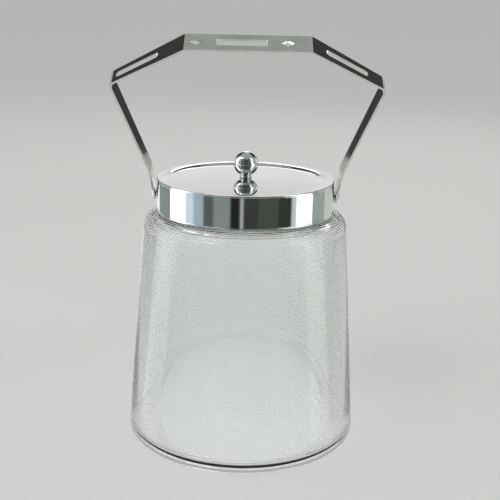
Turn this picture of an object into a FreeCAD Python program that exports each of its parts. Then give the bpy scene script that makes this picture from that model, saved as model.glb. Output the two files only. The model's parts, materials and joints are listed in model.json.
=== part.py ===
"""Biscuit jar: reeded glass body, chromed collar with a pierced bail handle, and a lift-off lid.

Millimetres, +Z up. The origin is on the jar's axis, in the plane that the jar stands on.
+X runs along the handle's pivots, and the handle leans towards -Y.
"""
import FreeCAD, Part
import math
import os
import sys

import Sketcher
from FreeCAD import Rotation, Vector

os.makedirs("parts", exist_ok=True)
doc = FreeCAD.newDocument("biscuit_jar")

# Driving dimensions. The sheet holds them in the order of this list.
SIZES = {
    # glass body
    "base_radius": 70.8,
    "heel_radius": 2.5,
    "shoulder_height": 139.9,
    "shoulder_radius": 10.0,
    "shoulder_flat": 2.1,
    "glass_wall": 2.2,
    "floor_thickness": 3.5,
    "inner_heel_radius": 3.0,
    "foot_ring_width": 6.0,
    "foot_recess": 1.0,
    "neck_wall": 2.4,
    "neck_length": 12.6,
    "lip_radius": 0.9,
    # collar, and the packing that holds it on the neck
    "collar_radius": 53.0,
    "collar_gap": 0.2,
    "collar_length": 18.0,
    "collar_sheet": 0.8,
    "collar_bead": 0.25,
    "collar_bead_length": 1.2,
    "packing_thickness": 2.8,
    "packing_inset": 0.8,
    "flange_overlap": 3.4,
    # lid
    "lid_sheet": 0.8,
    "lid_rim_thickness": 1.4,
    "lid_rim_width": 1.2,
    "lid_border_width": 5.7,
    "lid_disc_drop": 1.4,
    "lid_dome_rise": 1.5,
    "lid_skirt_clearance": 0.4,
    "lid_skirt_length": 3.9,
    # knob
    "knob_radius": 7.4,
    "knob_flat_radius": 2.6,
    "knob_foot_radius": 3.75,
    "knob_foot_thickness": 1.3,
    "screw_radius": 1.5,
    "screw_clearance": 0.06,
    "screw_reach": 7.0,
    "screw_head_radius": 3.0,
    "screw_head_thickness": 1.6,
    "washer_radius": 4.6,
    "washer_thickness": 0.6,
    "washer_gap": 0.05,
    # pivots on the collar
    "pivot_below_collar_top": 8.9,
    "rivet_radius": 1.5,
    "rivet_head_radius": 2.75,
    "rivet_head_height": 1.6,
    "rivet_tail_radius": 2.6,
    "rivet_tail_thickness": 0.8,
    "rivet_clearance": 0.08,
    "spacer_radius": 2.9,
    "packing_pocket_clearance": 0.6,
    # bail handle, a flat strip: across is along X, rise is above the pivots
    "strip_thickness": 1.2,
    "tab_gap": 0.5,
    "tab_radius": 4.2,
    "tab_bend_out": 3.6,
    "tab_bend_rise": 19.7,
    "corner_out": 21.5,
    "corner_rise": 81.9,
    "top_across": 33.1,
    "top_rise": 106.1,
    "tab_bend_radius": 3.0,
    "corner_bend_radius": 4.0,
    "top_bend_radius": 5.0,
    "strip_width_bend": 9.0,
    "strip_width_corner": 11.0,
    "strip_width_top": 14.6,
    "window_length": 26.6,
    "window_width": 5.7,
    "window_corner": 0.5,
    "diamond_length": 6.8,
    "diamond_width": 5.9,
    "diamond_place": 23.8,
    "slot_start": 44.0,
    "slot_end": 67.2,
    "slot_width": 4.4,
    "slot_corner": 1.6,
    "piercing_shift": -3.3,
    "bail_lean": 30.0,
}

# The glass carries the collar, and the collar carries the lid and the handle, so these follow it.
FOLLOWING = {
    "neck_radius": "=collar_radius - collar_sheet - packing_thickness",
    "wall_top_radius": "=neck_radius + shoulder_flat + shoulder_radius",
    "lid_disc_radius": "=collar_radius - lid_border_width",
    "tab_bend_across": "=collar_radius + tab_bend_out",
    "corner_across": "=collar_radius + corner_out",
}

sheet = doc.addObject("Spreadsheet::Sheet", "dims")
for row, (word, size) in enumerate([*SIZES.items(), *FOLLOWING.items()], start=1):
    sheet.set("A%d" % row, word)
    sheet.set("B%d" % row, str(size))
    sheet.setAlias("B%d" % row, word)
doc.recompute()

# Places and sizes that several pieces share, as expressions of the sheet.
NECK_TOP = "(dims.shoulder_height + dims.neck_length)"
COLLAR_BOTTOM = "(dims.shoulder_height + dims.collar_gap)"
COLLAR_TOP = "(%s + dims.collar_length)" % COLLAR_BOTTOM
COLLAR_INSIDE = "(dims.collar_radius - dims.collar_sheet)"
PIVOT_HEIGHT = "(%s - dims.pivot_below_collar_top)" % COLLAR_TOP
LID_TOP = "(%s + dims.lid_rim_thickness)" % COLLAR_TOP
DISC_EDGE = "(%s - dims.lid_disc_drop)" % LID_TOP
DISC_TOP = "(%s + dims.lid_dome_rise)" % DISC_EDGE
SCREW_HOLE = "(dims.screw_radius + dims.screw_clearance)"
KNOB_SEAT = "(%s + dims.knob_foot_thickness)" % DISC_TOP
KNOB_CENTRE = ("(%s + sqrt(dims.knob_radius ^ 2 - dims.knob_flat_radius ^ 2))" % KNOB_SEAT)
TAIL_FACE = "sqrt(%s ^ 2 - dims.rivet_tail_radius ^ 2)" % COLLAR_INSIDE
# slope of the tab: how far it leans out for each millimetre that it rises
TAB_FOOT = "(dims.collar_radius + dims.tab_gap + dims.strip_thickness)"
TAB_SLOPE = ("((dims.tab_bend_across - %s) / (dims.tab_bend_rise + dims.tab_radius))" % TAB_FOOT)
TAB_OUTSIDE = "(%s + dims.tab_radius * %s)" % (TAB_FOOT, TAB_SLOPE)
TAB_INSIDE = "(%s - dims.strip_thickness * sqrt(1 + %s ^ 2))" % (TAB_OUTSIDE, TAB_SLOPE)
HEAD_FACE = "(%s + dims.rivet_head_radius * %s + dims.rivet_clearance)" % (TAB_OUTSIDE, TAB_SLOPE)
SPACER_FACE = "(%s - dims.spacer_radius * %s - dims.rivet_clearance)" % (TAB_INSIDE, TAB_SLOPE)


def value(expression):
    """The number that an expression of the sheet has now."""
    return float(sheet.evalExpression(str(expression)))


def plane(body, role):
    return next(feature for feature in body.Origin.OriginFeatures if feature.Role == role)


def new_body(label):
    body = doc.addObject("PartDesign::Body", label)
    body.Label = label
    return body


def new_sketch(body, role, name):
    sketch = body.newObject("Sketcher::SketchObject", name)
    sketch.AttachmentSupport = [(plane(body, role), "")]
    sketch.MapMode = "FlatFace"
    return sketch


def bind(sketch, constraint, expression):
    """Adds a constraint whose last field follows an expression of the sheet."""
    index = sketch.addConstraint(constraint)
    sketch.setExpression("Constraints[%d]" % index, str(expression))


def place_point(sketch, edge, end, across, up):
    """Ties a point of the sketch to its two coordinates."""
    from_axis = (("DistanceX", across, -2), ("DistanceY", up, -1))
    for kind, coordinate, axis in from_axis:
        number = value(coordinate)
        if abs(number) < 1e-9:
            sketch.addConstraint(Sketcher.Constraint("PointOnObject", edge, end, axis))
        else:
            bind(sketch, Sketcher.Constraint(kind, -1, 1, edge, end, number), coordinate)


def arc_through(start, end, radius, turn):
    """Part.Arc of the given radius; turn is 1 where it curves to the left, -1 to the right."""
    chord = end - start
    half = chord.Length / 2
    to_centre = math.sqrt(max(radius ** 2 - half ** 2, 0))
    left = Vector(-chord.y, chord.x, 0).normalize()
    centre = start + chord / 2 + left * to_centre * turn
    middle = centre - left * radius * turn
    return Part.Arc(start, middle, end)


def draw_loop(sketch, corners):
    """Draws a closed outline.

    Each corner is (across, up) or (across, up, radius, turn), where radius and turn describe
    the arc that leaves the corner; without them the edge is straight.
    """
    points = [Vector(value(corner[0]), value(corner[1]), 0) for corner in corners]
    edges = []
    for index, corner in enumerate(corners):
        start = points[index]
        end = points[(index + 1) % len(points)]
        if len(corner) == 2:
            edge = sketch.addGeometry(Part.LineSegment(start, end))
            edges.append((edge, 1, 2))
            continue
        edge = sketch.addGeometry(arc_through(start, end, value(corner[2]), corner[3]))
        edges.append((edge, 1, 2) if corner[3] > 0 else (edge, 2, 1))
    for index, (edge, first, last) in enumerate(edges):
        following, following_first, _ = edges[(index + 1) % len(edges)]
        sketch.addConstraint(Sketcher.Constraint("Coincident", edge, last, following, following_first))
    for (edge, first, _), corner in zip(edges, corners):
        place_point(sketch, edge, first, corner[0], corner[1])
        if len(corner) > 2:
            bind(sketch, Sketcher.Constraint("Radius", edge, value(corner[2])), corner[2])


def turned(label, corners, axis="V_Axis"):
    """A body turned from an outline in the XZ plane, about Z, or about X where axis is H_Axis."""
    body = new_body(label)
    sketch = new_sketch(body, "XZ_Plane", label + "_outline")
    draw_loop(sketch, corners)
    turn = body.newObject("PartDesign::Revolution", label + "_turned")
    turn.Profile = (sketch, [""])
    turn.ReferenceAxis = (sketch, [axis])
    turn.Angle = 360
    doc.recompute()
    return body


def cut(body, sketch, name, depth=None):
    """Cuts the sketch through the body, both ways, and checks that it took something off.

    It goes right through, or as deep as depth says, half of it on each side of the sketch.
    """
    before = body.Shape.Volume
    pocket = body.newObject("PartDesign::Pocket", name)
    pocket.Profile = (sketch, [""])
    pocket.Midplane = True
    if depth is None:
        pocket.Type = "ThroughAll"
    else:
        pocket.setExpression("Length", depth)
    doc.recompute()
    if not body.Shape.Volume < before:
        sys.exit("%s cuts nothing: %s" % (name, pocket.getStatusString()))
    return pocket


def draw_window(sketch, left, right, width, corner):
    """A rectangle about the sketch's X axis, its corners rounded."""
    top = "%s / 2" % width
    bottom = "-%s / 2" % width
    draw_loop(sketch, [
        ("%s + %s" % (left, corner), bottom),
        ("%s - %s" % (right, corner), bottom, corner, 1),
        (right, "%s + %s" % (bottom, corner)),
        (right, "%s - %s" % (top, corner), corner, 1),
        ("%s - %s" % (right, corner), top),
        ("%s + %s" % (left, corner), top, corner, 1),
        (left, "%s - %s" % (top, corner)),
        (left, "%s + %s" % (bottom, corner), corner, 1),
    ])


def glass_jar():
    """Pressed glass: thick floor, foot ring, tapering wall, shoulder and a plain neck."""
    wall_top = "(dims.shoulder_height - dims.shoulder_radius)"
    shoulder_centre = "(dims.wall_top_radius - dims.shoulder_radius)"
    inner_shoulder = "(dims.shoulder_radius - dims.glass_wall)"
    floor = "(dims.foot_recess + dims.floor_thickness)"
    ring_outside = "(dims.base_radius - dims.heel_radius)"
    ring_inside = "(%s - dims.foot_ring_width)" % ring_outside
    neck_inside = "(dims.neck_radius - dims.neck_wall)"
    inner_foot = "(dims.base_radius - dims.glass_wall - dims.inner_heel_radius)"
    return turned("glass_jar", [
        (0, "dims.foot_recess"),
        ("%s - dims.foot_recess" % ring_inside, "dims.foot_recess"),
        (ring_inside, 0),
        (ring_outside, 0, "dims.heel_radius", 1),
        ("dims.base_radius", "dims.heel_radius"),
        ("dims.wall_top_radius", wall_top, "dims.shoulder_radius", 1),
        (shoulder_centre, "dims.shoulder_height"),
        ("dims.neck_radius", "dims.shoulder_height"),
        ("dims.neck_radius", "%s - dims.lip_radius" % NECK_TOP, "dims.lip_radius", 1),
        ("dims.neck_radius - dims.lip_radius", NECK_TOP),
        ("%s + dims.lip_radius" % neck_inside, NECK_TOP, "dims.lip_radius", 1),
        (neck_inside, "%s - dims.lip_radius" % NECK_TOP),
        (neck_inside, "dims.shoulder_height - dims.glass_wall"),
        (shoulder_centre, "dims.shoulder_height - dims.glass_wall", inner_shoulder, -1),
        ("dims.wall_top_radius - dims.glass_wall", wall_top),
        ("dims.base_radius - dims.glass_wall", "%s + dims.inner_heel_radius" % floor,
         "dims.inner_heel_radius", -1),
        (inner_foot, floor),
        (0, floor),
    ])


def neck_packing():
    """Plaster ring between the glass neck and the collar, with a pocket at each rivet's tail."""
    bottom = "(%s + dims.packing_inset)" % COLLAR_BOTTOM
    top = "(%s - dims.lip_radius)" % NECK_TOP
    body = turned("neck_packing", [
        ("dims.neck_radius", bottom),
        (COLLAR_INSIDE, bottom),
        (COLLAR_INSIDE, top),
        ("dims.neck_radius", top),
    ])
    sketch = new_sketch(body, "YZ_Plane", "packing_pockets")
    draw_hole(sketch, 0, PIVOT_HEIGHT, "dims.rivet_tail_radius + dims.packing_pocket_clearance")
    cut(body, sketch, "packing_pocket_cut")
    return body


def draw_hole(sketch, across, up, radius):
    centre = Vector(value(across), value(up), 0)
    edge = sketch.addGeometry(Part.Circle(centre, Vector(0, 0, 1), value(radius)))
    place_point(sketch, edge, 3, across, up)
    bind(sketch, Sketcher.Constraint("Radius", edge, value(radius)), radius)


def collar_band():
    """Chromed band over the neck, beaded at its foot, with a ledge inside that covers the lip."""
    bead_outside = "(dims.collar_radius + dims.collar_bead)"
    bead_top = "(%s + dims.collar_bead_length)" % COLLAR_BOTTOM
    ledge_inside = "(dims.neck_radius - dims.flange_overlap)"
    ledge_top = "(%s + dims.collar_sheet)" % NECK_TOP
    body = turned("collar_band", [
        (COLLAR_INSIDE, COLLAR_BOTTOM),
        (bead_outside, COLLAR_BOTTOM),
        (bead_outside, "%s - dims.collar_bead" % bead_top, "dims.collar_bead", 1),
        ("dims.collar_radius", bead_top),
        ("dims.collar_radius", COLLAR_TOP),
        (COLLAR_INSIDE, COLLAR_TOP),
        (COLLAR_INSIDE, ledge_top),
        (ledge_inside, ledge_top),
        (ledge_inside, NECK_TOP),
        (COLLAR_INSIDE, NECK_TOP),
    ])
    sketch = new_sketch(body, "YZ_Plane", "rivet_holes")
    draw_hole(sketch, 0, PIVOT_HEIGHT, "dims.rivet_radius")
    cut(body, sketch, "rivet_hole_cut")
    return body


def lid_shell():
    """Pressed lid: rounded rim on the collar's edge, a sunk domed disc and a locating skirt."""
    rim_inside = "(dims.collar_radius - dims.lid_rim_width)"
    rim_round = "(dims.lid_rim_width / 2)"
    skirt_outside = "(%s - dims.lid_skirt_clearance)" % COLLAR_INSIDE
    skirt_inside = "(%s - dims.lid_sheet)" % skirt_outside
    skirt_bottom = "(%s - dims.lid_skirt_length)" % COLLAR_TOP
    dome = "((dims.lid_disc_radius ^ 2 + dims.lid_dome_rise ^ 2) / (2 * dims.lid_dome_rise))"
    # the arc's top at the screw hole is this much under the crown of the dome
    sag = "(%s - sqrt(%s ^ 2 - %s ^ 2))" % (dome, dome, SCREW_HOLE)
    return turned("lid_shell", [
        (SCREW_HOLE, "%s - dims.lid_sheet - %s" % (DISC_TOP, sag)),
        (SCREW_HOLE, "%s - %s" % (DISC_TOP, sag), dome, -1),
        ("dims.lid_disc_radius", DISC_EDGE),
        (rim_inside, "%s - %s / 4" % (LID_TOP, rim_round)),
        ("dims.collar_radius - %s" % rim_round, LID_TOP, rim_round, -1),
        ("dims.collar_radius", "%s - %s" % (LID_TOP, rim_round)),
        ("dims.collar_radius", COLLAR_TOP),
        (skirt_outside, COLLAR_TOP),
        (skirt_outside, skirt_bottom),
        (skirt_inside, skirt_bottom),
        (skirt_inside, "%s - dims.lid_sheet" % COLLAR_TOP),
        ("dims.lid_disc_radius", "%s - dims.lid_sheet" % DISC_EDGE, dome, 1),
    ])


def knob_foot():
    """Small collar that the ball stands on."""
    return turned("knob_foot", [
        (SCREW_HOLE, DISC_TOP),
        ("dims.knob_foot_radius - dims.knob_foot_thickness / 2", DISC_TOP),
        ("dims.knob_foot_radius", "%s + dims.knob_foot_thickness / 2" % DISC_TOP),
        ("dims.knob_flat_radius", KNOB_SEAT),
        (SCREW_HOLE, KNOB_SEAT),
    ])


def knob_ball():
    """Ball knob, flat where it stands on its foot, with a blind hole for the screw."""
    hole_top = "(%s + dims.screw_reach + dims.screw_clearance)" % KNOB_SEAT
    return turned("knob_ball", [
        (SCREW_HOLE, KNOB_SEAT),
        ("dims.knob_flat_radius", KNOB_SEAT, "dims.knob_radius", 1),
        ("dims.knob_radius", KNOB_CENTRE, "dims.knob_radius", 1),
        (0, "%s + dims.knob_radius" % KNOB_CENTRE),
        (0, hole_top),
        (SCREW_HOLE, hole_top),
    ])


def knob_fixing():
    """The washer under the lid, and the screw that goes up through it into the ball."""
    washer_top = "(%s - dims.lid_sheet - dims.washer_gap)" % DISC_TOP
    washer_bottom = "(%s - dims.washer_thickness)" % washer_top
    head_bottom = "(%s - dims.screw_head_thickness)" % washer_bottom
    washer = turned("knob_washer", [
        (SCREW_HOLE, washer_bottom),
        ("dims.washer_radius", washer_bottom),
        ("dims.washer_radius", washer_top),
        (SCREW_HOLE, washer_top),
    ])
    screw = turned("knob_screw", [
        (0, head_bottom),
        ("dims.screw_head_radius - dims.screw_head_thickness / 2", head_bottom),
        ("dims.screw_head_radius", "%s + dims.screw_head_thickness / 2" % head_bottom),
        ("dims.screw_head_radius", washer_bottom),
        ("dims.screw_radius", washer_bottom),
        ("dims.screw_radius", "%s + dims.screw_reach" % KNOB_SEAT),
        (0, "%s + dims.screw_reach" % KNOB_SEAT),
    ])
    return [washer, screw]


def pivot(side, turn):
    """One pivot: a domed rivet set in the collar, and the spacer that holds the tab off the band."""
    dome = "((dims.rivet_head_radius ^ 2 + dims.rivet_head_height ^ 2) / (2 * dims.rivet_head_height))"
    tail_end = "(%s - dims.rivet_tail_thickness)" % TAIL_FACE
    rivet = turned("pivot_rivet_" + side, [
        (tail_end, 0),
        (tail_end, "dims.rivet_tail_radius - dims.rivet_tail_thickness / 2"),
        ("%s + dims.rivet_tail_thickness / 2" % tail_end, "dims.rivet_tail_radius"),
        (TAIL_FACE, "dims.rivet_tail_radius"),
        (TAIL_FACE, "dims.rivet_radius"),
        (HEAD_FACE, "dims.rivet_radius"),
        (HEAD_FACE, "dims.rivet_head_radius", dome, -1),
        ("%s + dims.rivet_head_height" % HEAD_FACE, 0),
    ], axis="H_Axis")
    spacer = turned("pivot_spacer_" + side, [
        ("dims.collar_radius", "dims.rivet_radius"),
        ("dims.collar_radius", "dims.spacer_radius"),
        (SPACER_FACE, "dims.spacer_radius"),
        (SPACER_FACE, "dims.rivet_radius"),
    ], axis="H_Axis")
    for body in (rivet, spacer):
        body.Placement.Rotation = Rotation(Vector(0, 0, 1), turn)
        body.setExpression("Placement.Base.z", PIVOT_HEIGHT)
    return [rivet, spacer]


def strip_outline(sketch):
    """The bent strip seen from the front: outer line, inner line and the two ends of the tabs."""
    half = [
        (TAB_FOOT, "-dims.tab_radius"),
        ("dims.tab_bend_across", "dims.tab_bend_rise"),
        ("dims.corner_across", "dims.corner_rise"),
        ("dims.top_across", "dims.top_rise"),
    ]
    outer = [("-" + across, rise) for across, rise in half] + half[::-1]
    points = [Vector(value(across), value(rise), 0) for across, rise in outer]
    middle = Vector(0, value("dims.top_rise") / 2, 0)
    shrink = value("dims.strip_thickness") / value("dims.corner_across")
    inner = [point + (middle - point) * shrink for point in points]
    count = len(points) - 1
    outside = [sketch.addGeometry(Part.LineSegment(points[i], points[i + 1])) for i in range(count)]
    inside = [sketch.addGeometry(Part.LineSegment(inner[i], inner[i + 1])) for i in range(count)]
    ends = [sketch.addGeometry(Part.LineSegment(points[i], inner[i])) for i in (0, count)]
    for lines in (outside, inside):
        for first, second in zip(lines, lines[1:]):
            sketch.addConstraint(Sketcher.Constraint("Coincident", first, 2, second, 1))
    for end, lines_end, which in ((ends[0], 0, 1), (ends[1], -1, 2)):
        sketch.addConstraint(Sketcher.Constraint("Coincident", end, 1, outside[lines_end], which))
        sketch.addConstraint(Sketcher.Constraint("Coincident", end, 2, inside[lines_end], which))
        sketch.addConstraint(Sketcher.Constraint("Horizontal", end))
    for index, (across, rise) in enumerate(outer):
        line, which = (outside[index], 1) if index < count else (outside[-1], 2)
        place_point(sketch, line, which, across, rise)
    for outer_line, inner_line in zip(outside, inside):
        sketch.addConstraint(Sketcher.Constraint("Parallel", outer_line, inner_line))
        thickness = value("dims.strip_thickness")
        bind(sketch, Sketcher.Constraint("Distance", inner_line, 1, outer_line, thickness),
             "dims.strip_thickness")


def bend_edges(body, across, rise):
    """The strip's edges at one bend, both sides of the handle: outer ones, then inner ones."""
    place = Vector(value(across), 0, value(rise))
    reach = 2.5 * value("dims.strip_thickness")
    outer = []
    inner = []
    for index, edge in enumerate(body.Shape.Edges, start=1):
        centre = edge.CenterOfMass
        off = Vector(abs(centre.x), centre.y, centre.z) - place
        if abs(edge.tangentAt(edge.FirstParameter).y) > 0.99 and off.Length < reach:
            (outer if off.Length < 1e-6 else inner).append("Edge%d" % index)
    return outer, inner


def round_bend(body, name, across, rise, inside, outside):
    """Rounds one bend: its inner edges by one radius, then its outer edges by the other."""
    for which, side, size in ((1, "inside", inside), (0, "outside", outside)):
        edges = bend_edges(body, across, rise)[which]
        if len(edges) != 2:
            sys.exit("%s has %d edges at its %s" % (name, len(edges), side))
        base = body.Tip
        fillet = body.newObject("PartDesign::Fillet", "%s_%s" % (name, side))
        fillet.Base = (base, edges)
        fillet.setExpression("Radius", size)
        doc.recompute()


def bail_handle():
    """Flat strip bent over the lid, pierced along its top, its tabs turned in to the rivets."""
    body = new_body("bail_handle")
    front = new_sketch(body, "XZ_Plane", "strip_front")
    strip_outline(front)
    strip = body.newObject("PartDesign::Pad", "strip")
    strip.Profile = (front, [""])
    strip.Midplane = True
    strip.setExpression("Length", "dims.strip_width_top + 2 * dims.strip_thickness")
    doc.recompute()

    # the tabs bend the other way from the rest, so there the inner face has the larger radius
    round_bend(body, "tab_bend", "dims.tab_bend_across", "dims.tab_bend_rise",
               "dims.tab_bend_radius + dims.strip_thickness", "dims.tab_bend_radius")
    round_bend(body, "corner_bend", "dims.corner_across", "dims.corner_rise",
               "dims.corner_bend_radius - dims.strip_thickness", "dims.corner_bend_radius")
    round_bend(body, "top_bend", "dims.top_across", "dims.top_rise",
               "dims.top_bend_radius - dims.strip_thickness", "dims.top_bend_radius")

    side = new_sketch(body, "YZ_Plane", "strip_side")
    beyond = "(2 * dims.strip_width_top)"
    above = "(dims.top_rise + %s)" % beyond
    draw_loop(side, [
        ("-" + beyond, "-" + beyond),
        (beyond, "-" + beyond),
        (beyond, above),
        ("-" + beyond, above),
    ])
    draw_loop(side, [
        ("-dims.tab_radius", 0, "dims.tab_radius", 1),
        (0, "-dims.tab_radius", "dims.tab_radius", 1),
        ("dims.tab_radius", 0),
        ("dims.strip_width_bend / 2", "dims.tab_bend_rise"),
        ("dims.strip_width_corner / 2", "dims.corner_rise"),
        ("dims.strip_width_top / 2", "dims.top_rise - dims.strip_thickness"),
        ("dims.strip_width_top / 2", "dims.top_rise + dims.strip_thickness"),
        ("-dims.strip_width_top / 2", "dims.top_rise + dims.strip_thickness"),
        ("-dims.strip_width_top / 2", "dims.top_rise - dims.strip_thickness"),
        ("-dims.strip_width_corner / 2", "dims.corner_rise"),
        ("-dims.strip_width_bend / 2", "dims.tab_bend_rise"),
    ])
    cut(body, side, "strip_taper")

    holes = new_sketch(body, "YZ_Plane", "pivot_holes")
    draw_hole(holes, 0, 0, "dims.rivet_radius + dims.rivet_clearance")
    cut(body, holes, "pivot_hole_cut")

    # the piercing goes through the top and the slopes, and stops above the legs;
    # the strip is bent a little off the middle of its piercing
    piercing = new_sketch(body, "XY_Plane", "piercing")
    piercing.setExpression("AttachmentOffset.Base.z", "dims.top_rise")
    piercing.setExpression("AttachmentOffset.Base.x", "dims.piercing_shift")
    draw_window(piercing, "-dims.window_length / 2", "dims.window_length / 2", "dims.window_width",
                "dims.window_corner")
    for left, right in (("-dims.slot_end", "-dims.slot_start"), ("dims.slot_start", "dims.slot_end")):
        draw_window(piercing, left, right, "dims.slot_width", "dims.slot_corner")
    for middle in ("-dims.diamond_place", "dims.diamond_place"):
        draw_loop(piercing, [
            ("%s - dims.diamond_length / 2" % middle, 0),
            (middle, "-dims.diamond_width / 2"),
            ("%s + dims.diamond_length / 2" % middle, 0),
            (middle, "dims.diamond_width / 2"),
        ])
    cut(body, piercing, "piercing_cut", "2 * (dims.top_rise - dims.corner_rise)")

    body.Placement.Rotation = Rotation(Vector(1, 0, 0), value("dims.bail_lean"))
    body.setExpression("Placement.Base.z", PIVOT_HEIGHT)
    body.setExpression("Placement.Rotation.Angle", "dims.bail_lean")
    return body


pieces = [
    glass_jar(), neck_packing(), collar_band(),
    lid_shell(), knob_foot(), knob_ball(), *knob_fixing(),
    *pivot("left", 180), *pivot("right", 0),
    bail_handle(),
]
doc.recompute()

for item in doc.Objects:
    if "Invalid" in item.State or "Error" in item.State:
        sys.exit("%s failed: %s" % (item.Name, item.State))
for piece in pieces:
    if piece.Shape.isNull() or not piece.Shape.isValid() or len(piece.Shape.Solids) != 1:
        sys.exit("%s is not one valid solid" % piece.Label)
for piece in pieces:
    piece.Shape.exportStep("parts/%s.step" % piece.Label)
    box = piece.Shape.BoundBox
    print("%-20s volume %9.1f  z %.2f to %.2f" % (piece.Label, piece.Shape.Volume, box.ZMin, box.ZMax))
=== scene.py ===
"""Biscuit jar: the looks. Metres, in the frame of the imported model."""

import json
import math

import bmesh
import bpy
from mathutils import Matrix, Vector


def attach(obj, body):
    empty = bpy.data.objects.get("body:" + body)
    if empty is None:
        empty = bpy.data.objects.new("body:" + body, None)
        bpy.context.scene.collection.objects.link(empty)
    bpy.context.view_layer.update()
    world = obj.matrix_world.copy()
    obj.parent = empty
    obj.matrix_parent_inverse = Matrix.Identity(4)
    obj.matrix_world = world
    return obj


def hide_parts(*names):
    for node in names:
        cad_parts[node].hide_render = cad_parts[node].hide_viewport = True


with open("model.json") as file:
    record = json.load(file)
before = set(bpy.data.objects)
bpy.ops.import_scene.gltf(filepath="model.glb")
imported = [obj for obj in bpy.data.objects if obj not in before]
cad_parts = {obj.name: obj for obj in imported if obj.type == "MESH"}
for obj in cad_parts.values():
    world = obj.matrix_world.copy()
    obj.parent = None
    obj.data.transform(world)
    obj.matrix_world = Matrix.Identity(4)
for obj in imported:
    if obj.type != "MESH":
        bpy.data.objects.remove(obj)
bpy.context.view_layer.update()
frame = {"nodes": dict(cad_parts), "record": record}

MM = 0.001

# Sizes of the turned pieces, in millimetres.
BASE_RADIUS = 70.8
HEEL_RADIUS = 2.5
WALL_TOP_RADIUS = 61.5
SHOULDER_HEIGHT = 139.9
SHOULDER_RADIUS = 10.0
GLASS_WALL = 2.2
FLOOR_HEIGHT = 4.5
INNER_HEEL_RADIUS = 3.0
FOOT_RECESS = 1.0
FOOT_RING_WIDTH = 6.0
NECK_RADIUS = 49.4
NECK_WALL = 2.4
NECK_TOP = 152.5
LIP_RADIUS = 0.9
REED_PITCH = 1.28
REED_DEPTH = 0.15
REED_STEPS = 6
REEDS_SMOOTH = 5
REEDS_FADE = 3

COLLAR_RADIUS = 53.0
COLLAR_INSIDE = 52.2
COLLAR_BOTTOM = 140.1
COLLAR_TOP = 158.1
COLLAR_BEAD = 0.25
COLLAR_BEAD_ROUND = 0.6
COLLAR_BEAD_TOP = 1.3
LEDGE_INSIDE = 46.0
LEDGE_THICKNESS = 0.8

LID_TOP = 159.5
LID_DISC_RADIUS = 47.3
LID_DISC_EDGE = 158.1
LID_DOME_RISE = 1.5
LID_SHEET = 0.8
LID_RIM_ROUND = 0.6
LID_CREST_INSET = 1.4
LID_RIM_TUCK = 0.3
SKIRT_OUTSIDE = 51.8
SKIRT_BOTTOM = 154.2
SCREW_HOLE = 1.56

KNOB_RADIUS = 7.4
KNOB_FLAT_RADIUS = 2.6
KNOB_SEAT = 160.9
KNOB_HOLE_DEPTH = 7.06

HANDLE_EDGE = 0.22

# The camera, worked out from the outlines of the rims, the walls and the handle.
CAMERA_DISTANCE = 533.0
CAMERA_HEIGHT = 268.4
CAMERA_PITCH = 0.2818
CAMERA_YAW = 0.0066
CAMERA_ROLL = 0.0225
FOCAL_PIXELS = 905.5
PICTURE_WIDTH = 500
SENSOR_WIDTH = 36.0


def arc(centre, radius, start, end, steps):
    """Points of an arc, angles in degrees from +radius towards +height."""
    points = []
    for step in range(steps + 1):
        angle = math.radians(start + (end - start) * step / steps)
        points.append((centre[0] + radius * math.cos(angle), centre[1] + radius * math.sin(angle)))
    return points


def lathe(name, outline, segments=192):
    """A closed mesh turned about Z from a closed outline of (radius, height) in millimetres."""
    mesh = bmesh.new()
    rings = []
    for radius, height in outline:
        ring = []
        for segment in range(segments):
            angle = 2 * math.pi * segment / segments
            place = (radius * math.cos(angle) * MM, radius * math.sin(angle) * MM, height * MM)
            ring.append(mesh.verts.new(place))
        rings.append(ring)
    closed = outline[0][0] > 0 or outline[-1][0] > 0
    count = len(rings) if closed else len(rings) - 1
    for index in range(count):
        lower = rings[index]
        upper = rings[(index + 1) % len(rings)]
        for segment in range(segments):
            following = (segment + 1) % segments
            mesh.faces.new((lower[segment], lower[following], upper[following], upper[segment]))
    bmesh.ops.remove_doubles(mesh, verts=mesh.verts, dist=1e-7)
    bmesh.ops.recalc_face_normals(mesh, faces=mesh.faces)
    return finish_mesh(name, mesh)


def finish_mesh(name, mesh, sharp_degrees=32):
    data = bpy.data.meshes.new(name)
    mesh.to_mesh(data)
    mesh.free()
    data.polygons.foreach_set("use_smooth", [True] * len(data.polygons))
    data.set_sharp_from_angle(angle=math.radians(sharp_degrees))
    piece = bpy.data.objects.new(name, data)
    bpy.context.scene.collection.objects.link(piece)
    return piece


def new_material(name):
    material = bpy.data.materials.new(name)
    material.use_nodes = True
    tree = material.node_tree
    shader = next(node for node in tree.nodes if node.type == "BSDF_PRINCIPLED")
    return material, tree, shader


def noise(tree, scale, detail=4.0, roughness=0.6):
    """A noise texture in object coordinates."""
    place = tree.nodes.new("ShaderNodeTexCoord")
    texture = tree.nodes.new("ShaderNodeTexNoise")
    texture.inputs["Scale"].default_value = scale
    texture.inputs["Detail"].default_value = detail
    texture.inputs["Roughness"].default_value = roughness
    tree.links.new(place.outputs["Object"], texture.inputs["Vector"])
    return texture.outputs["Fac"]


def ramp(tree, source, stops):
    """A colour ramp from (position, colour) pairs."""
    node = tree.nodes.new("ShaderNodeValToRGB")
    elements = node.color_ramp.elements
    while len(elements) < len(stops):
        elements.new(0.5)
    for element, (position, colour) in zip(elements, stops):
        element.position = position
        element.color = colour
    tree.links.new(source, node.inputs["Fac"])
    return node.outputs["Color"]


def grey(level):
    return (level, level, level, 1)


def bump(tree, source, shader, strength, distance):
    node = tree.nodes.new("ShaderNodeBump")
    node.inputs["Strength"].default_value = strength
    node.inputs["Distance"].default_value = distance
    tree.links.new(source, node.inputs["Height"])
    tree.links.new(node.outputs["Normal"], shader.inputs["Normal"])


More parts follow.
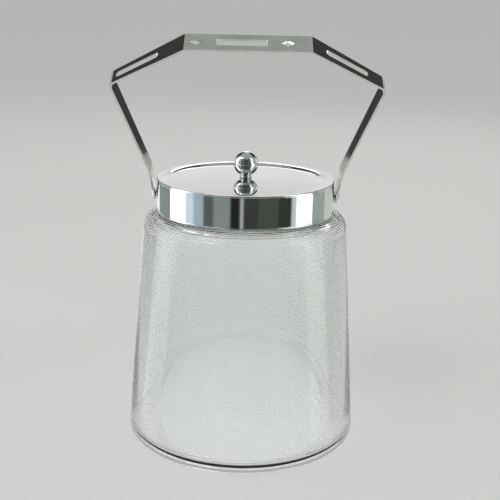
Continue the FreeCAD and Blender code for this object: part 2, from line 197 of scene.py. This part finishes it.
def chrome(name, base, worn, roughness, waviness):
    """Old plate: bright, with faint duller patches, fine specks and a slightly uneven surface."""
    material, tree, shader = new_material(name)
    shader.inputs["Metallic"].default_value = 1.0
    patches = noise(tree, 55, detail=8, roughness=0.65)
    colour = ramp(tree, patches, [(0.3, (*worn, 1)), (0.6, (*base, 1))])
    tree.links.new(colour, shader.inputs["Base Color"])
    specks = noise(tree, 700, detail=4)
    dull = ramp(tree, specks, [(0.5, grey(roughness[0])), (0.78, grey(roughness[1]))])
    tree.links.new(dull, shader.inputs["Roughness"])
    bump(tree, noise(tree, 40, detail=2), shader, waviness, 0.0005)
    return material


def glass():
    """Clear pressed glass with a faint cool tint."""
    material, tree, shader = new_material("clear_glass")
    shader.inputs["Base Color"].default_value = (0.985, 0.995, 0.99, 1)
    shader.inputs["Transmission Weight"].default_value = 1.0
    shader.inputs["IOR"].default_value = 1.5
    dull = ramp(tree, noise(tree, 90, detail=5), [(0.5, grey(0.0)), (0.85, grey(0.03))])
    tree.links.new(dull, shader.inputs["Roughness"])
    bump(tree, noise(tree, 60, detail=2), shader, 0.08, 0.0004)
    return material


def plaster():
    """Off-white setting plaster, grainy and a little stained."""
    material, tree, shader = new_material("plaster")
    shade = ramp(tree, noise(tree, 150, detail=8),
                 [(0.3, (0.6, 0.56, 0.48, 1)), (0.7, (0.8, 0.78, 0.72, 1))])
    tree.links.new(shade, shader.inputs["Base Color"])
    shader.inputs["Roughness"].default_value = 0.9
    bump(tree, noise(tree, 900, detail=4), shader, 0.5, 0.0005)
    return material


def steel():
    material, tree, shader = new_material("steel")
    shader.inputs["Metallic"].default_value = 1.0
    shade = ramp(tree, noise(tree, 300, detail=6), [(0.3, grey(0.35)), (0.7, grey(0.5))])
    tree.links.new(shade, shader.inputs["Base Color"])
    shader.inputs["Roughness"].default_value = 0.32
    bump(tree, noise(tree, 1500), shader, 0.3, 0.0002)
    return material


def outer_wall():
    """The outside of the glass from the foot ring's edge to the top of the shoulder, closely spaced."""
    wall_top = SHOULDER_HEIGHT - SHOULDER_RADIUS
    corner = (BASE_RADIUS - HEEL_RADIUS, HEEL_RADIUS)
    coarse = arc(corner, HEEL_RADIUS, -90, 0, 40)
    coarse += arc((WALL_TOP_RADIUS - SHOULDER_RADIUS, wall_top), SHOULDER_RADIUS, 0, 90, 60)
    lengths = [0.0]
    for first, second in zip(coarse, coarse[1:]):
        lengths.append(lengths[-1] + math.dist(first, second))
    steps = round(lengths[-1] / REED_PITCH) * REED_STEPS
    points = []
    index = 0
    for step in range(steps + 1):
        along = lengths[-1] * step / steps
        while index < len(coarse) - 2 and lengths[index + 1] < along:
            index += 1
        share = (along - lengths[index]) / (lengths[index + 1] - lengths[index])
        first, second = coarse[index], coarse[index + 1]
        points.append(tuple(a + (b - a) * share for a, b in zip(first, second)))
    return points


def reeded(points):
    """Sinks the valleys between the reeds, which die out round the heel."""
    outline = []
    for index, point in enumerate(points):
        before = points[max(index - 1, 0)]
        after = points[min(index + 1, len(points) - 1)]
        length = math.dist(before, after)
        inward = (-(after[1] - before[1]) / length, (after[0] - before[0]) / length)
        valley = 1 - abs(math.sin(math.pi * index / REED_STEPS))
        rising = (index / REED_STEPS - REEDS_SMOOTH) / REEDS_FADE
        ending = (len(points) - 1 - index) / REED_STEPS
        strength = max(0.0, min(1.0, rising, ending))
        depth = REED_DEPTH * valley * strength
        outline.append((point[0] + inward[0] * depth, point[1] + inward[1] * depth))
    return outline


def glass_body():
    wall_top = SHOULDER_HEIGHT - SHOULDER_RADIUS
    neck_inside = NECK_RADIUS - NECK_WALL
    ring_inside = BASE_RADIUS - HEEL_RADIUS - FOOT_RING_WIDTH
    inner_base = BASE_RADIUS - GLASS_WALL - INNER_HEEL_RADIUS
    outline = [(0, FOOT_RECESS), (ring_inside - FOOT_RECESS, FOOT_RECESS), (ring_inside, 0)]
    outline += reeded(outer_wall())
    outline.append((NECK_RADIUS, SHOULDER_HEIGHT))
    outline += arc((NECK_RADIUS - LIP_RADIUS, NECK_TOP - LIP_RADIUS), LIP_RADIUS, 0, 90, 6)
    outline += arc((neck_inside + LIP_RADIUS, NECK_TOP - LIP_RADIUS), LIP_RADIUS, 90, 180, 6)
    outline.append((neck_inside, SHOULDER_HEIGHT - GLASS_WALL))
    outline += arc((WALL_TOP_RADIUS - SHOULDER_RADIUS, wall_top), SHOULDER_RADIUS - GLASS_WALL,
                   90, 0, 16)
    outline += arc((inner_base, FLOOR_HEIGHT + INNER_HEEL_RADIUS), INNER_HEEL_RADIUS, 0, -90, 20)
    outline.append((0, FLOOR_HEIGHT))
    return lathe("glass_body", outline)


def collar():
    """The band, with a bead round its foot and the ledge inside it over the glass lip."""
    bead = (COLLAR_RADIUS + COLLAR_BEAD - COLLAR_BEAD_ROUND, COLLAR_BOTTOM + COLLAR_BEAD_ROUND)
    outline = [(COLLAR_INSIDE, COLLAR_BOTTOM), (COLLAR_RADIUS, COLLAR_BOTTOM)]
    outline += arc(bead, COLLAR_BEAD_ROUND, -70, 70, 10)
    outline += [(COLLAR_RADIUS, COLLAR_BOTTOM + COLLAR_BEAD_TOP),
                (COLLAR_RADIUS, COLLAR_TOP), (COLLAR_INSIDE, COLLAR_TOP),
                (COLLAR_INSIDE, NECK_TOP + LEDGE_THICKNESS), (LEDGE_INSIDE, NECK_TOP + LEDGE_THICKNESS),
                (LEDGE_INSIDE, NECK_TOP), (COLLAR_INSIDE, NECK_TOP)]
    return lathe("collar_shell", outline, 256)


def dome(radius_from, radius_to, top, steps):
    """Points on the disc's dome, whose crown is at the given height."""
    sphere = (LID_DISC_RADIUS ** 2 + LID_DOME_RISE ** 2) / (2 * LID_DOME_RISE)
    points = []
    for step in range(steps + 1):
        radius = radius_from + (radius_to - radius_from) * step / steps
        points.append((radius, top - sphere + math.sqrt(sphere ** 2 - radius ** 2)))
    return points


def lid():
    crown = LID_DISC_EDGE + LID_DOME_RISE
    outline = dome(SCREW_HOLE, LID_DISC_RADIUS, crown, 40)
    crest = COLLAR_RADIUS - LID_CREST_INSET
    width = crest - LID_DISC_RADIUS
    drop = LID_TOP - LID_DISC_EDGE
    bend = (width ** 2 + drop ** 2) / (2 * drop)
    steepest = math.degrees(math.asin(width / bend))
    outline += arc((crest, LID_TOP - bend), bend, 90 + steepest, 90, 12)[1:]
    outline += arc((COLLAR_RADIUS - LID_RIM_ROUND, LID_TOP - LID_RIM_ROUND), LID_RIM_ROUND, 90, -60, 14)
    outline += [(COLLAR_RADIUS - LID_RIM_TUCK, COLLAR_TOP), (SKIRT_OUTSIDE, COLLAR_TOP),
                (SKIRT_OUTSIDE, SKIRT_BOTTOM), (SKIRT_OUTSIDE - LID_SHEET, SKIRT_BOTTOM),
                (SKIRT_OUTSIDE - LID_SHEET, COLLAR_TOP - LID_SHEET)]
    outline += dome(LID_DISC_RADIUS, SCREW_HOLE, crown - LID_SHEET, 20)
    return lathe("lid_pressing", outline, 256)


def knob():
    centre = KNOB_SEAT + math.sqrt(KNOB_RADIUS ** 2 - KNOB_FLAT_RADIUS ** 2)
    start = -math.degrees(math.acos(KNOB_FLAT_RADIUS / KNOB_RADIUS))
    outline = [(SCREW_HOLE, KNOB_SEAT)] + arc((0, centre), KNOB_RADIUS, start, 90, 48)
    outline[-1] = (0, centre + KNOB_RADIUS)
    outline += [(0, KNOB_SEAT + KNOB_HOLE_DEPTH), (SCREW_HOLE, KNOB_SEAT + KNOB_HOLE_DEPTH)]
    return lathe("ball_knob", outline, 96)


def dress():
    """Adds the finished pieces and gives every kept node its material."""
    materials = {
        "chrome_plate": chrome("chrome_plate", (0.8, 0.81, 0.8), (0.7, 0.705, 0.69),
                               (0.025, 0.08), 0.05),
        "clear_glass": glass(),
        "plaster": plaster(),
        "steel": steel(),
    }
    for entry in frame["record"]["subparts"]:
        node = frame["nodes"][entry["node"]]
        node.data.materials.clear()
        node.data.materials.append(materials[entry["material_slot"]])
    handle = frame["nodes"]["bail_handle"]
    handle.data.materials[0] = chrome("handle_plate", (0.74, 0.745, 0.73), (0.6, 0.6, 0.58),
                                      (0.07, 0.2), 0.1)
    edges = handle.modifiers.new("worn_edges", "BEVEL")
    edges.width = HANDLE_EDGE * MM
    edges.segments = 2
    edges.limit_method = "ANGLE"
    edges.angle_limit = math.radians(40)
    edges.harden_normals = True
    pieces = [
        (glass_body(), "glass_jar", "jar", "clear_glass"),
        (collar(), "collar_band", "jar", "chrome_plate"),
        (lid(), "lid_shell", "lid", "chrome_plate"),
        (knob(), "knob_ball", "lid", "chrome_plate"),
    ]
    for piece, node, body, material in pieces:
        piece.data.materials.append(materials[material])
        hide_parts(node)
        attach(piece, body)
        if material == "clear_glass":
            piece.visible_shadow = False


def camera():
    """The camera at the photograph's viewing angle, slightly rolled as it was held."""
    forward = Vector((math.sin(CAMERA_YAW) * math.cos(CAMERA_PITCH),
                      math.cos(CAMERA_YAW) * math.cos(CAMERA_PITCH), -math.sin(CAMERA_PITCH)))
    right = forward.cross(Vector((0, 0, 1))).normalized()
    up = right.cross(forward)
    rolled_right = right * math.cos(CAMERA_ROLL) + up * math.sin(CAMERA_ROLL)
    rolled_up = up * math.cos(CAMERA_ROLL) - right * math.sin(CAMERA_ROLL)
    data = bpy.data.cameras.new("camera")
    data.sensor_width = SENSOR_WIDTH
    data.lens = FOCAL_PIXELS / PICTURE_WIDTH * SENSOR_WIDTH
    data.clip_start = 0.01
    holder = bpy.data.objects.new("camera", data)
    turn = Matrix((rolled_right, rolled_up, -forward)).transposed().to_4x4()
    holder.matrix_world = Matrix.Translation((0, -CAMERA_DISTANCE * MM, CAMERA_HEIGHT * MM)) @ turn
    bpy.context.scene.collection.objects.link(holder)
    bpy.context.scene.camera = holder


def area_light(name, place, target, size, power):
    data = bpy.data.lights.new(name, "AREA")
    data.shape = "RECTANGLE"
    data.size, data.size_y = size
    data.energy = power
    lamp = bpy.data.objects.new(name, data)
    lamp.location = place
    lamp.rotation_euler = (Vector(target) - Vector(place)).to_track_quat("-Z", "Y").to_euler()
    bpy.context.scene.collection.objects.link(lamp)


def stage_piece(name, mesh):
    """Makes an object for the studio from a mesh, which it uses up."""
    data = bpy.data.meshes.new(name)
    mesh.to_mesh(data)
    mesh.free()
    piece = bpy.data.objects.new(name, data)
    bpy.context.scene.collection.objects.link(piece)
    return piece


def stage_plane(name, size):
    mesh = bmesh.new()
    bmesh.ops.create_grid(mesh, x_segments=1, y_segments=1, size=size)
    return stage_piece(name, mesh)


def only_reflected(piece):
    piece.visible_camera = False
    piece.visible_diffuse = False
    piece.visible_transmission = False
    piece.visible_shadow = False


def card(name, place, target, size, colour):
    """A panel that only reflections show: a softbox or a flag out of the picture."""
    panel = stage_plane(name, 0.5)
    panel.scale = (size[0], size[1], 1)
    panel.location = place
    panel.rotation_euler = (Vector(target) - Vector(place)).to_track_quat("-Z", "Y").to_euler()
    material, tree, shader = new_material(name)
    shader.inputs["Base Color"].default_value = grey(0)
    shader.inputs["Specular IOR Level"].default_value = 0
    shader.inputs["Emission Color"].default_value = (*colour, 1)
    shader.inputs["Emission Strength"].default_value = 1
    panel.data.materials.append(material)
    only_reflected(panel)


# Panels in a ring round the jar: where each starts and ends, in degrees to the right of the
# camera's side, and its colour.
RING = [
    (-170, -131, (1.0, 1.0, 1.0)),
    (-131, -98, (0.28, 0.32, 0.3)),
    (-98, -72, (2.6, 2.75, 2.85)),
    (-72, -60, (0.75, 0.84, 0.92)),
    (-60, -47, (0.42, 0.52, 0.6)),
    (-47, -35, (0.12, 0.13, 0.14)),
    (-35, -16, (0.26, 0.3, 0.29)),
    (-16, -5, (0.02, 0.022, 0.022)),
    (-5, -2, (0.5, 0.52, 0.52)),
    (-2, 14, (0.05, 0.055, 0.05)),
    (14, 37, (0.07, 0.085, 0.07)),
    (37, 53, (0.04, 0.045, 0.04)),
    (53, 60, (0.6, 0.68, 0.66)),
    (60, 83, (2.6, 2.7, 2.6)),
    (83, 109, (0.36, 0.41, 0.37)),
]
RING_RADIUS = 0.2
RING_HEIGHT = 0.15
BRIGHTEST = 3.0
SOFT_EDGE = 1.2

# The same, further off and higher up, for the ball, the shoulder and the lid's border.
HIGH_RING = [
    (-104, -76, (2.2, 2.35, 2.45)),
    (-76, -50, (0.4, 0.46, 0.48)),
    (-50, -16, (0.12, 0.145, 0.13)),
    (-16, 14, (0.06, 0.07, 0.065)),
    (14, 50, (0.1, 0.12, 0.105)),
    (50, 80, (1.5, 1.6, 1.55)),
    (80, 104, (0.3, 0.34, 0.32)),
]
HIGH_RING_RADIUS = 0.7

# Dark flags for the handle, seen from the jar: degrees to the right of the camera's side,
# then from the lower to the upper elevation.
FLAGS = [
    (-166, -112, 17, 52),
    (112, 166, 17, 52),
    (-164, -146, -4, 12),
    (146, 164, -4, 12),
]
FLAG_DISTANCE = 0.9
FLAG_CENTRE = 0.2


def ring(name, panels, radius, low, high):
    """Part of a drum round the jar, lit by the panels' colours, which run softly into each other."""
    mesh = bmesh.new()
    steps = 96
    first = panels[0][0]
    last = panels[-1][1]
    columns = []
    for step in range(steps + 1):
        angle = math.radians(first + (last - first) * step / steps)
        place = (radius * math.sin(angle), -radius * math.cos(angle))
        columns.append([mesh.verts.new((*place, height)) for height in (low, high)])
    for before, after in zip(columns, columns[1:]):
        mesh.faces.new((before[0], after[0], after[1], before[1]))
    drum = stage_piece(name, mesh)

    stops = []
    for start, end, colour in panels:
        shade = tuple(level / BRIGHTEST for level in colour) + (1,)
        for place in (start + SOFT_EDGE, end - SOFT_EDGE):
            stops.append(((place + 180) / 360, shade))
    material, tree, shader = new_material(name)
    coordinates = tree.nodes.new("ShaderNodeTexCoord")
    split = tree.nodes.new("ShaderNodeSeparateXYZ")
    tree.links.new(coordinates.outputs["Object"], split.inputs["Vector"])
    forward = tree.nodes.new("ShaderNodeMath")
    forward.operation = "MULTIPLY"
    forward.inputs[1].default_value = -1
    tree.links.new(split.outputs["Y"], forward.inputs[0])
    turn = tree.nodes.new("ShaderNodeMath")
    turn.operation = "ARCTAN2"
    tree.links.new(split.outputs["X"], turn.inputs[0])
    tree.links.new(forward.outputs[0], turn.inputs[1])
    share = tree.nodes.new("ShaderNodeMapRange")
    share.inputs["From Min"].default_value = -math.pi
    share.inputs["From Max"].default_value = math.pi
    tree.links.new(turn.outputs[0], share.inputs["Value"])
    tree.links.new(ramp(tree, share.outputs["Result"], stops), shader.inputs["Emission Color"])
    shader.inputs["Base Color"].default_value = grey(0)
    shader.inputs["Specular IOR Level"].default_value = 0
    shader.inputs["Emission Strength"].default_value = BRIGHTEST
    drum.data.materials.append(material)
    only_reflected(drum)


def reflections():
    ring("ring", RING, RING_RADIUS, 0.001, RING_HEIGHT)
    ring("high_ring", HIGH_RING, HIGH_RING_RADIUS, 0.1, 0.95)
    for index, (start, end, low, high) in enumerate(FLAGS):
        turn = math.radians((start + end) / 2)
        rise = math.radians((low + high) / 2)
        place = (FLAG_DISTANCE * math.cos(rise) * math.sin(turn),
                 -FLAG_DISTANCE * math.cos(rise) * math.cos(turn),
                 FLAG_CENTRE + FLAG_DISTANCE * math.sin(rise))
        size = (2 * FLAG_DISTANCE * math.cos(rise) * math.tan(math.radians((end - start) / 2)),
                2 * FLAG_DISTANCE * math.tan(math.radians((high - low) / 2)))
        card("flag_%02d" % index, place, (0, 0, FLAG_CENTRE), size, (0.05, 0.05, 0.048))


def studio():
    """Pale floor, pale surround, soft lights, and panels for the metal and the glass to reflect."""
    floor = stage_plane("floor", 60)
    material, tree, shader = new_material("floor")
    shader.inputs["Base Color"].default_value = (0.73, 0.725, 0.715, 1)
    shader.inputs["Roughness"].default_value = 0.85
    shader.inputs["Specular IOR Level"].default_value = 0
    floor.data.materials.append(material)

    world = bpy.data.worlds.new("studio")
    world.use_nodes = True
    bpy.context.scene.world = world
    tree = world.node_tree
    background = next(node for node in tree.nodes if node.type == "BACKGROUND")
    path = tree.nodes.new("ShaderNodeLightPath")
    seen = tree.nodes.new("ShaderNodeMath")
    seen.operation = "MAXIMUM"
    tree.links.new(path.outputs["Is Camera Ray"], seen.inputs[0])
    tree.links.new(path.outputs["Is Glossy Ray"], seen.inputs[1])
    through = tree.nodes.new("ShaderNodeMath")
    through.operation = "MAXIMUM"
    tree.links.new(seen.outputs[0], through.inputs[0])
    tree.links.new(path.outputs["Is Transmission Ray"], through.inputs[1])
    strength = tree.nodes.new("ShaderNodeMapRange")
    strength.inputs["To Min"].default_value = 1.1
    strength.inputs["To Max"].default_value = 0.92
    tree.links.new(through.outputs[0], strength.inputs["Value"])
    tree.links.new(strength.outputs["Result"], background.inputs["Strength"])
    direction = tree.nodes.new("ShaderNodeTexCoord")
    split = tree.nodes.new("ShaderNodeSeparateXYZ")
    tree.links.new(direction.outputs["Generated"], split.inputs["Vector"])
    colour = ramp(tree, split.outputs["Z"], [(0.2, (0.9, 0.9, 0.89, 1)), (0.85, (0.42, 0.45, 0.43, 1))])
    tree.links.new(colour, background.inputs["Color"])

    area_light("key", (-0.9, -0.7, 1.1), (0, 0, 0.1), (0.7, 0.9), 5.5)
    area_light("fill", (1.1, -0.5, 0.7), (0, 0, 0.1), (0.5, 0.9), 2)
    area_light("back", (0.3, 1.2, 1.0), (0, 0, 0.12), (1.0, 0.5), 2)
    reflections()


bpy.context.scene.view_settings.view_transform = "Standard"
dress()
camera()
studio()
